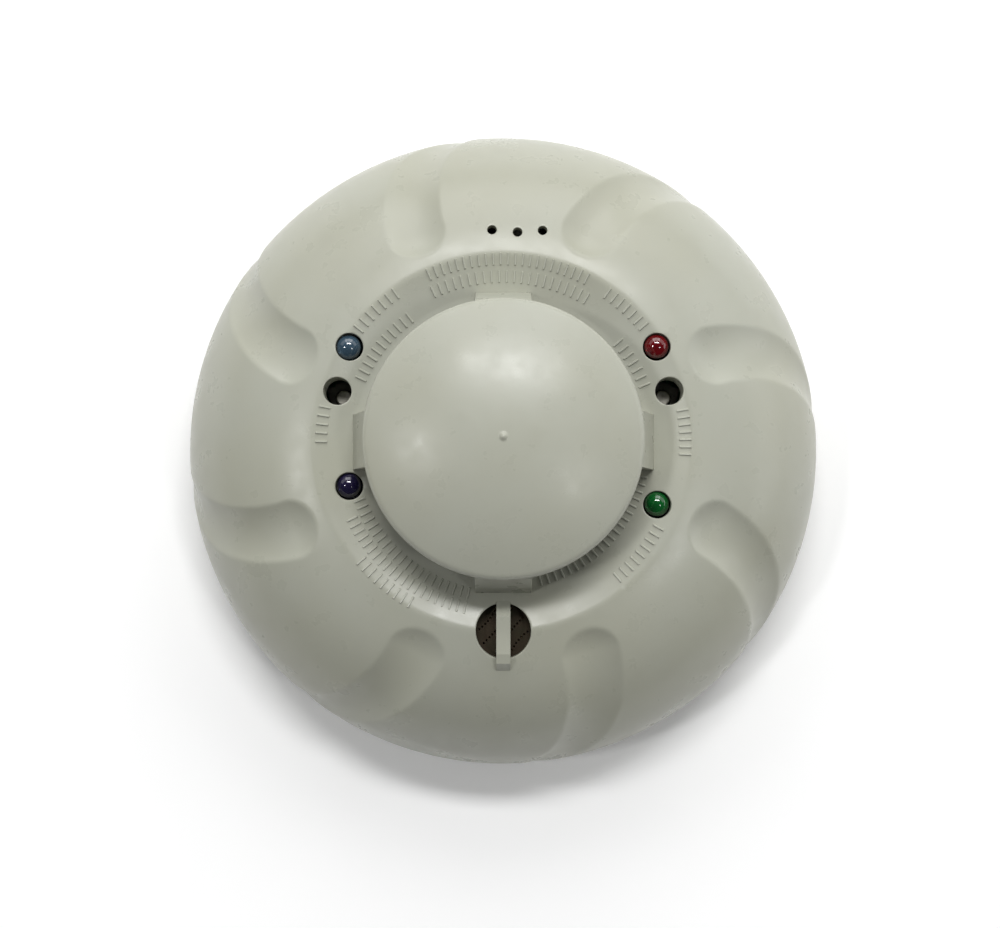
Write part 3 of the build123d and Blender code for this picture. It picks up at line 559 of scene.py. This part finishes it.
def matt_materials():
    """Ferrite, ceramic, paper, foam, card and lacquer by slot."""
    core = ((0.045, 0.043, 0.042), (0.075, 0.070, 0.066))
    ceramic = ((0.62, 0.60, 0.54), (0.52, 0.50, 0.44))
    paper = ((0.72, 0.72, 0.70), (0.60, 0.60, 0.57))
    foam = ((0.030, 0.029, 0.028), (0.060, 0.057, 0.054))
    brown = ((0.036, 0.021, 0.010), (0.022, 0.021, 0.008))
    lacquer = ((0.33, 0.10, 0.03), (0.26, 0.075, 0.02))
    return {
        "coil_core": matt("coil_core", *core, size=0.9, roughness=0.55, relief=0.02),
        "ceramic": matt("ceramic", *ceramic, size=0.8, roughness=0.6, relief=0.01),
        "membrane": matt("membrane", *paper, size=0.5, roughness=0.75, relief=0.015),
        "foam": matt("foam", *foam, size=0.35, roughness=0.9, relief=0.05),
        "varistor_coat": matt("varistor_coat", *lacquer, size=1.2, roughness=0.35, relief=0.015, spec=0.5),
        "brown_screen": matt(
            "brown_screen", *brown, size=5.5, roughness=0.6, relief=0.01, spec=0.25, grain=0.3
        ),
    }


def lens_materials():
    """Coloured and clear epoxies by slot: the usual tint and the deeper one."""
    return {
        "lamp_blue": tinted_lens("lamp_blue", (0.060, 0.110, 0.160), (0.045, 0.085, 0.125)),
        "lamp_red": tinted_lens("lamp_red", (0.200, 0.002, 0.006), (0.130, 0.001, 0.004)),
        "lamp_violet": tinted_lens("lamp_violet", (0.018, 0.013, 0.055), (0.010, 0.008, 0.035)),
        "lamp_green": tinted_lens("lamp_green", (0.004, 0.150, 0.025), (0.003, 0.105, 0.018)),
        "optic_clear": tinted_lens("optic_clear", (0.20, 0.20, 0.24), (0.16, 0.16, 0.20), clear=0.9),
    }


materials = {"board": circuit_board(), **plastics(), **metals(), **matt_materials(), **lens_materials()}
slots = {part["node"]: part["material_slot"] for part in frame["record"]["subparts"]}


def repaint(node, material):
    """Give a CAD node one material."""
    mesh = frame["nodes"][node].data
    mesh.materials.clear()
    mesh.materials.append(material)


for node, slot in slots.items():
    repaint(node, materials[slot])


# ================================================================ front cover
def dome_surface(radius):
    """Height of the outer dome at a distance from the axis."""
    share = (radius - dome_centre_radius) / dome_width
    return widest_height + dome_height * sqrt(max(0.0, 1 - share**2))


def front_surface(radius):
    """Height of the front face at a distance from the axis, inside or outside the crest."""
    if radius > crest_radius:
        return dome_surface(radius)
    return crest_height - (crest_radius - max(radius, channel_floor_radius)) * channel_slope


def scoop_centre(share):
    """Centre of a scoop's round cutter, from its head (share 0) to the rim (share 1). The head is on +X."""
    head_share = (scoop_head_radius - dome_centre_radius) / dome_width
    head_angle = asin(head_share)
    turn = head_angle + (pi / 2 - head_angle) * share
    radius = dome_centre_radius + dome_width * sin(turn)
    height = widest_height + dome_height * cos(turn)
    normal = np.array((sin(turn) / dome_width, cos(turn) / dome_height))
    normal /= np.linalg.norm(normal)
    depth = scoop_head_depth + (scoop_tail_depth - scoop_head_depth) * share**2
    stand_off = scoop_tube_radius - depth
    sweep = -radians(scoop_tail_sweep) * share**scoop_sweep_power
    out = radius + stand_off * normal[0]
    return np.array((out * cos(sweep), out * sin(sweep), height + stand_off * normal[1]))


def circle_through(first, second, third):
    """Centre, radius, two axes in its plane and the end angle of the arc through three points."""
    a, b = second - first, third - first
    normal = np.cross(a, b)
    to_centre = np.dot(a, a) * np.cross(b, normal) + np.dot(b, b) * np.cross(normal, a)
    to_centre /= 2 * np.dot(normal, normal)
    centre = first + to_centre
    radius = np.linalg.norm(to_centre)
    across = -to_centre / radius
    along = np.cross(normal / np.linalg.norm(normal), across)
    end = np.arctan2(np.dot(third - centre, along), np.dot(third - centre, across)) % (2 * pi)
    return centre, radius, across, along, end


scoop_arc = circle_through(scoop_centre(0), scoop_centre(scoop_run_out / 2), scoop_centre(scoop_run_out))


def nearest_on_arc(points):
    """The point of the scoop's centre line that is nearest to each point."""
    centre, radius, across, along, end = scoop_arc
    from_centre = points - centre
    turn = np.arctan2(from_centre @ along, from_centre @ across) % (2 * pi)
    past_end = (turn - end) % (2 * pi) < (2 * pi - turn) % (2 * pi)
    turn = np.where(turn <= end, turn, np.where(past_end, end, 0.0))
    return centre + radius * (np.cos(turn)[:, None] * across + np.sin(turn)[:, None] * along)


def scoop_depths(points, normals):
    """How far each point of the dome goes in along its normal."""
    depths = np.zeros(len(points))
    for scoop in range(scoop_count):
        turn = -radians(scoop_first_angle + scoop * 360 / scoop_count)
        turned = np.array(((cos(turn), -sin(turn), 0), (sin(turn), cos(turn), 0), (0, 0, 1))).T
        place, facing = points @ turned, normals @ turned
        depth = np.zeros(len(points))
        near = place[:, 0] > np.abs(place[:, 1])
        for _ in range(scoop_rounds):
            inside = place - facing * np.maximum(depth, 0)[:, None]
            offset = place - nearest_on_arc(inside)
            height = np.sum(offset * facing, axis=1)
            sideways = np.sum(offset**2, axis=1) - height**2
            reached = near & (height < 0) & (sideways < scoop_tube_radius**2)
            bite = np.sqrt(np.maximum(scoop_tube_radius**2 - sideways, 0)) + height
            depth = np.where(reached, bite, -1.0)
        blend = np.maximum(scoop_edge_softness - np.abs(depth), 0) / scoop_edge_softness
        depth = np.maximum(depth, 0) + blend**2 * scoop_edge_softness / 4
        depths = np.maximum(depths, depth)
    return depths


def outer_profile():
    """The cover's outside from the skirt up over the dome, down the channel and into the bore."""
    profile = [(body_radius - skirt_draft, height) for height in (skirt_bottom, skirt_bottom + skirt_lip)]
    for height in np.linspace(skirt_bottom + skirt_gap, widest_height, skirt_rows)[:-1]:
        drawn_in = skirt_draft * (widest_height - height) / (widest_height - skirt_bottom)
        profile.append((body_radius - drawn_in, height))
    for turn in np.linspace(0, acos(crest_share), dome_rows):
        radius = dome_centre_radius + dome_width * cos(turn)
        profile.append((radius, widest_height + dome_height * sin(turn)))
    profile[-3:] = [(crest_radius, crest_height)]  # makes room for the rounding of the crest
    crest = len(profile) - 1
    for radius in np.linspace(crest_radius, channel_floor_radius, channel_rows + 1)[1:]:
        profile.append((radius, front_surface(radius)))
    profile = rounded(profile, crest, crest_rounding, crest_steps)
    return profile + [(channel_lip_radius, channel_floor_height), (cover_bore_radius, channel_floor_height)]


def inner_profile():
    """The cover's inside from the bore out to the skirt."""
    inner_width = dome_width - cover_wall
    inner_height = dome_height - cover_wall
    inner_crest = acos((crest_radius - dome_centre_radius) / inner_width)
    profile = [(cover_bore_radius, channel_underside), (crest_radius - cover_wall, channel_underside)]
    for turn in np.linspace(inner_crest, 0, inner_rows):
        radius = dome_centre_radius + inner_width * cos(turn)
        profile.append((radius, widest_height + inner_height * sin(turn)))
    return profile + [(body_radius - cover_wall, skirt_bottom)]


def push_in_scoops(points):
    """Move points of the dome inward, along its normals, where a scoop is."""
    radius = np.hypot(points[:, 0], points[:, 1])
    share = (radius - dome_centre_radius) / dome_width
    scoop_limit = crest_radius - scoop_inner_margin
    on_dome = (radius > scoop_limit) & (points[:, 2] > widest_height - tiny)
    upward = np.where(on_dome, np.sqrt(np.maximum(1 - share**2, 0)) / dome_height, 0.0)
    outward = np.where(on_dome, share / dome_width, 1.0)
    normals = np.stack((outward * points[:, 0] / radius, outward * points[:, 1] / radius, upward), axis=1)
    normals /= np.linalg.norm(normals, axis=1)[:, None]
    moves = scoop_depths(points, normals)
    moves[radius < scoop_limit] = 0.0
    return points - normals * moves[:, None]


def make_cover():
    """The scooped dome, the sunk channel and the inner wall as one closed mesh, not yet cut."""
    outer = outer_profile()
    points, faces = lathe(outer + inner_profile(), cover_segments)
    outside = push_in_scoops(points[: len(outer)].reshape(-1, 3))
    inside = points[len(outer) :].reshape(-1, 3)
    return new_object("front_cover_shell", np.concatenate((outside, inside)), faces)


def hole_cutter(centre, radius, bottom, rounding, segments):
    """A drill with a flared mouth, which leaves a rounded rim on the sloping channel or dome."""
    top = front_surface(sqrt(centre[0] ** 2 + centre[1] ** 2))
    profile = [(0, bottom), (radius, bottom), (radius, top - rounding - mouth_sink)]
    for turn in np.radians(np.linspace(0, mouth_turn, mouth_steps)):
        profile.append((radius + rounding * (1 - cos(turn)), top - rounding + rounding * sin(turn)))
    mouth = profile[-1][0] + mouth_flare
    drill_top = top + drill_clearance
    profile += [(mouth, top + mouth_lift), (mouth + mouth_draft, drill_top), (0, drill_top)]
    cutter = turned_solid("cutter", profile, segments, centre)
    for vertex in cutter.data.vertices:
        place = vertex.co / MM
        if place.z > top - rounding - mouth_sink - mouth_band:
            vertex.co.z += (front_surface(sqrt(place.x**2 + place.y**2)) - top) * MM
    return cutter


def tube_blank(centre):
    """The collar round a test hole, before the hole is drilled."""
    radius = test_hole_radius + test_tube_wall
    top = channel_underside + tube_lap
    profile = [(0, test_tube_bottom), (radius, test_tube_bottom), (radius, top), (0, top)]
    return turned_solid("tube", profile, hole_segments, centre)


def finish_cover(cover):
    """Add the collars of the test holes, then cut the openings and the seats of the pillars."""
    carve(cover, joined("tubes", [tube_blank(centre) for centre in test_holes]), "UNION")
    through = channel_underside - drill_run_through
    below_tube = test_tube_bottom - cut_margin
    port = (0, sounder_y)
    cutters = []
    for centre in lamp_holes.values():
        cutters.append(hole_cutter(centre, lamp_hole_radius, through, hole_rounding, hole_segments))
    for centre in test_holes:
        cutters.append(hole_cutter(centre, test_hole_radius, below_tube, hole_rounding, hole_segments))
    for centre in gas_holes:
        cutters.append(hole_cutter(centre, gas_hole_radius, through, small_hole_rounding, gas_hole_segments))
    cutters.append(hole_cutter(port, sounder_port_radius, through, hole_rounding, port_segments))
    carve(cover, joined("cutters", cutters), "DIFFERENCE")
    half = pillar_width / 2 + notch_gap
    reach = pillar_foot_radius + notch_gap
    arms = []
    for length, width in ((reach, half), (half, reach)):
        outline = [(-length, -width), (length, -width), (length, width), (-length, width)]
        arms.append(prism("arm", outline, z_axis, channel_underside - cut_margin, crest_height))
    for arm in arms:
        carve(cover, arm, "DIFFERENCE")


def guard_bar():
    """The bar over the sounder's port: a ramp up from the channel, a flat top and a sloping foot."""
    inner = -sounder_y - sounder_port_radius
    outer = -sounder_y + sounder_port_radius
    top = crest_height + guard_proud
    underside = top - guard_thickness
    outline = [
        (-inner + guard_root, front_surface(inner - guard_root) - guard_sink),
        (-inner - guard_ramp, top - guard_dip),
        (-outer + guard_nose, top),
        (-outer - guard_nose, top - guard_nose_drop),
        (-outer - guard_foot, dome_surface(outer + guard_foot) - guard_sink),
        (-outer - guard_root, underside - guard_heel),
        (-outer + guard_underside_in, underside),
        (-inner - guard_underside_in, underside),
    ]
    return prism("guard_bar", outline, x_axis, -guard_width / 2, guard_width / 2, guard_bevel)


cover = make_cover()
finish_cover(cover)
soften(cover, angle=32)
dress(cover, materials["cover_plastic"], replaces=("front_cover",))
bar = guard_bar()
soften(bar, angle=50)
even_normals(bar)
dress(bar, materials["cover_plastic"])


# ================================================================ lamps
def make_lens(node):
    """A 5 mm lamp's epoxy body: a flange, a straight barrel and a slightly flattened dome."""
    low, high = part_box(node)
    centre = ((low.x + high.x) / 2 / MM, (low.y + high.y) / 2 / MM)
    top = high.z / MM
    bottom = top - lamp_length
    flange_top = bottom + lamp_flange
    barrel_top = top - lens_dome
    profile = [(0, bottom), (lamp_flange_radius - flange_corner, bottom)]
    profile += [(lamp_flange_radius, bottom + flange_corner)]
    profile += [(lamp_flange_radius, flange_top - flange_corner)]
    profile += [(lamp_flange_radius - flange_corner, flange_top)]
    profile += [(lens_radius, flange_top), (lens_radius, barrel_top)]
    for turn in np.radians(np.linspace(lens_shoulder, 90, lens_rows))[:-1]:
        profile.append((lens_radius * cos(turn), barrel_top + lens_dome * sin(turn)))
    profile.append((0, top))
    return turned_solid(f"{node}_lens", profile, lens_segments, centre)


def make_posts(node):
    """The two posts inside a lamp, one with the reflector cup, and their legs down to the board."""
    low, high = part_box(node)
    centre_x, centre_y = (low.x + high.x) / 2 / MM, (low.y + high.y) / 2 / MM
    bottom = low.z / MM
    head = high.z / MM - post_head_depth
    posts = []
    for side, head_radius, dip in ((-1, post_head_radii[0], cup_depth), (1, post_head_radii[1], 0.0)):
        profile = [(0, bottom), (post_radius, bottom), (post_radius, head - post_neck)]
        profile += [(head_radius, head - post_head_height), (head_radius, head), (0, head - dip)]
        place = (centre_x + side * post_offset, centre_y)
        posts.append(turned_solid("post", profile, post_segments, place))
    return joined("lamp_posts", posts)


for node in lamp_holes:
    lens = make_lens(node)
    soften(lens, angle=40)
    dress(lens, materials[slots[node]], replaces=(node,))
    posts = make_posts(node)
    soften(posts, angle=40)
    dress(posts, materials["plated_steel"])


# ================================================================ ribs in the channel, in place of wording
def rib_corners(radius, turn, inset, lift):
    """Four corners of a rib's foot or top, on the channel's slope."""
    corners = []
    for along, across in ((-1, -1), (1, -1), (1, 1), (-1, 1)):
        out = radius + along * (rib_length / 2 - inset)
        aside = across * (rib_width / 2 - inset)
        x = out * cos(turn) - aside * sin(turn)
        y = out * sin(turn) + aside * cos(turn)
        corners.append((x, y, front_surface(out) + lift))
    return corners


def make_ribs():
    """Rows of small moulded ribs across the channel."""
    shape = bmesh.new()
    for radius, first, last in rib_rows:
        count = int(radians(last - first) * radius / rib_pitch)
        for degrees in np.linspace(first, last, count + 1):
            turn = radians(degrees)
            foot = [shape.verts.new(place) for place in rib_corners(radius, turn, 0.0, -rib_sink)]
            top = [shape.verts.new(place) for place in rib_corners(radius, turn, rib_draft, rib_height)]
            shape.faces.new(top)
            shape.faces.new(foot[::-1])
            for side in range(4):
                beside = (side + 1) % 4
                shape.faces.new((foot[side], foot[beside], top[beside], top[side]))
    return object_from_bmesh("channel_marks", shape)


ribs = make_ribs()
soften(ribs, angle=30)
dress(ribs, materials["cover_plastic"])

# ================================================================ switches seen down the test holes
# The switch frames get a near-black steel: painted shade, much darker than their real plating, so that they
# read as dark down the test holes and reflect no ring of light.
shaded_frame_steel = metal("shaded_frame_steel", (0.10, 0.098, 0.088), (0.05, 0.048, 0.042), 0.5)
worn_steel = metal("worn_steel", (0.34, 0.33, 0.29), (0.18, 0.17, 0.15), 0.42)
for side in ("left", "right"):
    repaint(f"{side}_switch_frame", shaded_frame_steel)
    repaint(f"{side}_test_button", worn_steel)


# ================================================================ smoke cap
def make_cap():
    """The domed cap with its small nub, rounded edge and hollow underside."""
    centre = cap_edge_height - sqrt(cap_sphere_radius**2 - cap_radius**2)
    inner_sphere = cap_sphere_radius - cap_wall
    inner_radius = cap_radius - cap_wall
    rim = cap_edge_height - cap_rim_depth
    profile = []
    for radius in np.linspace(0.0, nub_radius, nub_rows):
        rise = nub_height * (1 - (radius / nub_radius) ** 2) ** 2
        profile.append((radius, centre + sqrt(cap_sphere_radius**2 - radius**2) + rise))
    for radius in np.linspace(nub_radius + nub_gap, cap_radius - cap_edge_start, cap_rows):
        profile.append((radius, centre + sqrt(cap_sphere_radius**2 - radius**2)))
    profile.append((cap_radius, cap_edge_height))
    corner = len(profile) - 1
    profile += [(cap_radius, cap_edge_height - cap_side), (cap_radius, rim + rim_chamfer)]
    profile += [(cap_radius - rim_chamfer, rim), (inner_radius + rim_chamfer, rim)]
    profile += [(inner_radius, rim + rim_chamfer)]
    profile = rounded(profile, corner, cap_edge_rounding, cap_edge_steps)
    for radius in np.linspace(inner_radius, 0, cap_inner_rows):
        profile.append((radius, centre + sqrt(inner_sphere**2 - radius**2)))
    return turned_solid("smoke_cap_shell", profile, cap_segments)


def make_pillars():
    """Four sloping pillars and the ring that joins them under the channel."""
    flange_bottom = channel_underside - flange_thickness
    outline = [
        (pillar_inner_radius, flange_bottom),
        (pillar_inner_radius, cap_edge_height - pillar_top_depth),
        (cap_radius - pillar_tuck, cap_edge_height - cap_rim_depth + pillar_rise),
        (pillar_foot_radius, front_surface(pillar_foot_radius)),
        (pillar_foot_radius, channel_underside),
        (flange_pad_radius, channel_underside),
        (flange_pad_radius, flange_bottom),
    ]
    pieces = []
    for turn in range(4):
        pillar = prism("pillar", outline, y_axis, -pillar_width / 2, pillar_width / 2, pillar_bevel)
        pillar.data.transform(Matrix.Rotation(turn * pi / 2, 4, "Z"))
        pieces.append(pillar)
    profile = [(pillar_inner_radius, flange_bottom), (flange_radius, flange_bottom)]
    profile += [(flange_radius, channel_underside), (pillar_inner_radius, channel_underside)]
    points, faces = lathe(profile, ring_segments)
    pieces.append(new_object("ring", points.reshape(-1, 3), faces))
    return joined("smoke_cap_pillars", pieces)


cap = make_cap()
soften(cap, angle=45)
dress(cap, materials["cover_plastic"], replaces=("smoke_cap",))
pillars = make_pillars()
soften(pillars, angle=50)
even_normals(pillars)
dress(pillars, materials["cover_plastic"])

# ================================================================ floor
floor_half = 3000.0
floor_drop = 0.05
paper = Recipe("floor_paper", Roughness=0.9, Specular_IOR_Level=0.1, Emission_Strength=0.1)
clouds = paper.ramp(paper.noise(size=60, detail=3), 0.3, 0.7)
paper.colour(paper.mix(clouds, (0.975, 0.975, 0.975), (0.96, 0.96, 0.96)))
floor_corners = [(-floor_half, -floor_half), (floor_half, -floor_half), (floor_half, floor_half)]
floor_corners.append((-floor_half, floor_half))
floor = new_object("floor", [(*corner, -floor_drop) for corner in floor_corners], [(0, 1, 2, 3)])
floor.data.materials.append(paper.material)

# ================================================================ lights
light_distance = 2.6
light_height = 0.04


def soft_light(name, azimuth, off_axis, size, watts):
    """A rectangular light that faces the detector. Azimuth is from +X; off_axis is the angle from +Z."""
    turn, lean = radians(azimuth), radians(off_axis)
    away = Vector((sin(lean) * cos(turn), sin(lean) * sin(turn), cos(lean)))
    data = bpy.data.lights.new(name, "AREA")
    data.shape = "RECTANGLE"
    data.size, data.size_y = size
    data.energy = watts
    light = bpy.data.objects.new(name, data)
    light.location = away * light_distance + Vector((0, 0, light_height))
    light.rotation_euler = away.to_track_quat("Z", "Y").to_euler()
    bpy.context.scene.collection.objects.link(light)


for azimuth, watts in ((135, 8.0), (90, 28.0), (45, 12.0)):
    soft_light("window_light", azimuth, off_axis=60, size=(2.4, 1.4), watts=watts)
soft_light("ceiling_strip", azimuth=85, off_axis=29, size=(1.5, 0.36), watts=37.0)
soft_light("left_lamp", azimuth=181, off_axis=31, size=(0.28, 0.28), watts=10.0)
soft_light("right_lamp", azimuth=-24, off_axis=29, size=(0.24, 0.36), watts=5.0)
soft_light("right_light", azimuth=4, off_axis=75, size=(1.6, 1.0), watts=8.5)

world = bpy.data.worlds.new("soft_room")
world.use_nodes = True
background = world.node_tree.nodes["Background"]
background.inputs["Color"].default_value = (0.96, 0.98, 1.0, 1.0)
background.inputs["Strength"].default_value = 0.04
bpy.context.scene.world = world
bpy.context.scene.view_settings.view_transform = "Standard"

# ================================================================ camera
camera_distance = 0.3997
camera_lean = radians(2.79)
aim = Vector((-0.0007, -0.0047, crest_height * MM))

camera_data = bpy.data.cameras.new("camera")
camera_data.sensor_width = 36.0
camera_data.lens = 68.7
camera_data.clip_start = 0.02
camera = bpy.data.objects.new("camera", camera_data)
away = Vector((0, -sin(camera_lean), cos(camera_lean)))
camera.location = aim + away * camera_distance
camera.rotation_euler = away.to_track_quat("Z", "Y").to_euler()
bpy.context.scene.collection.objects.link(camera)
bpy.context.scene.camera = camera
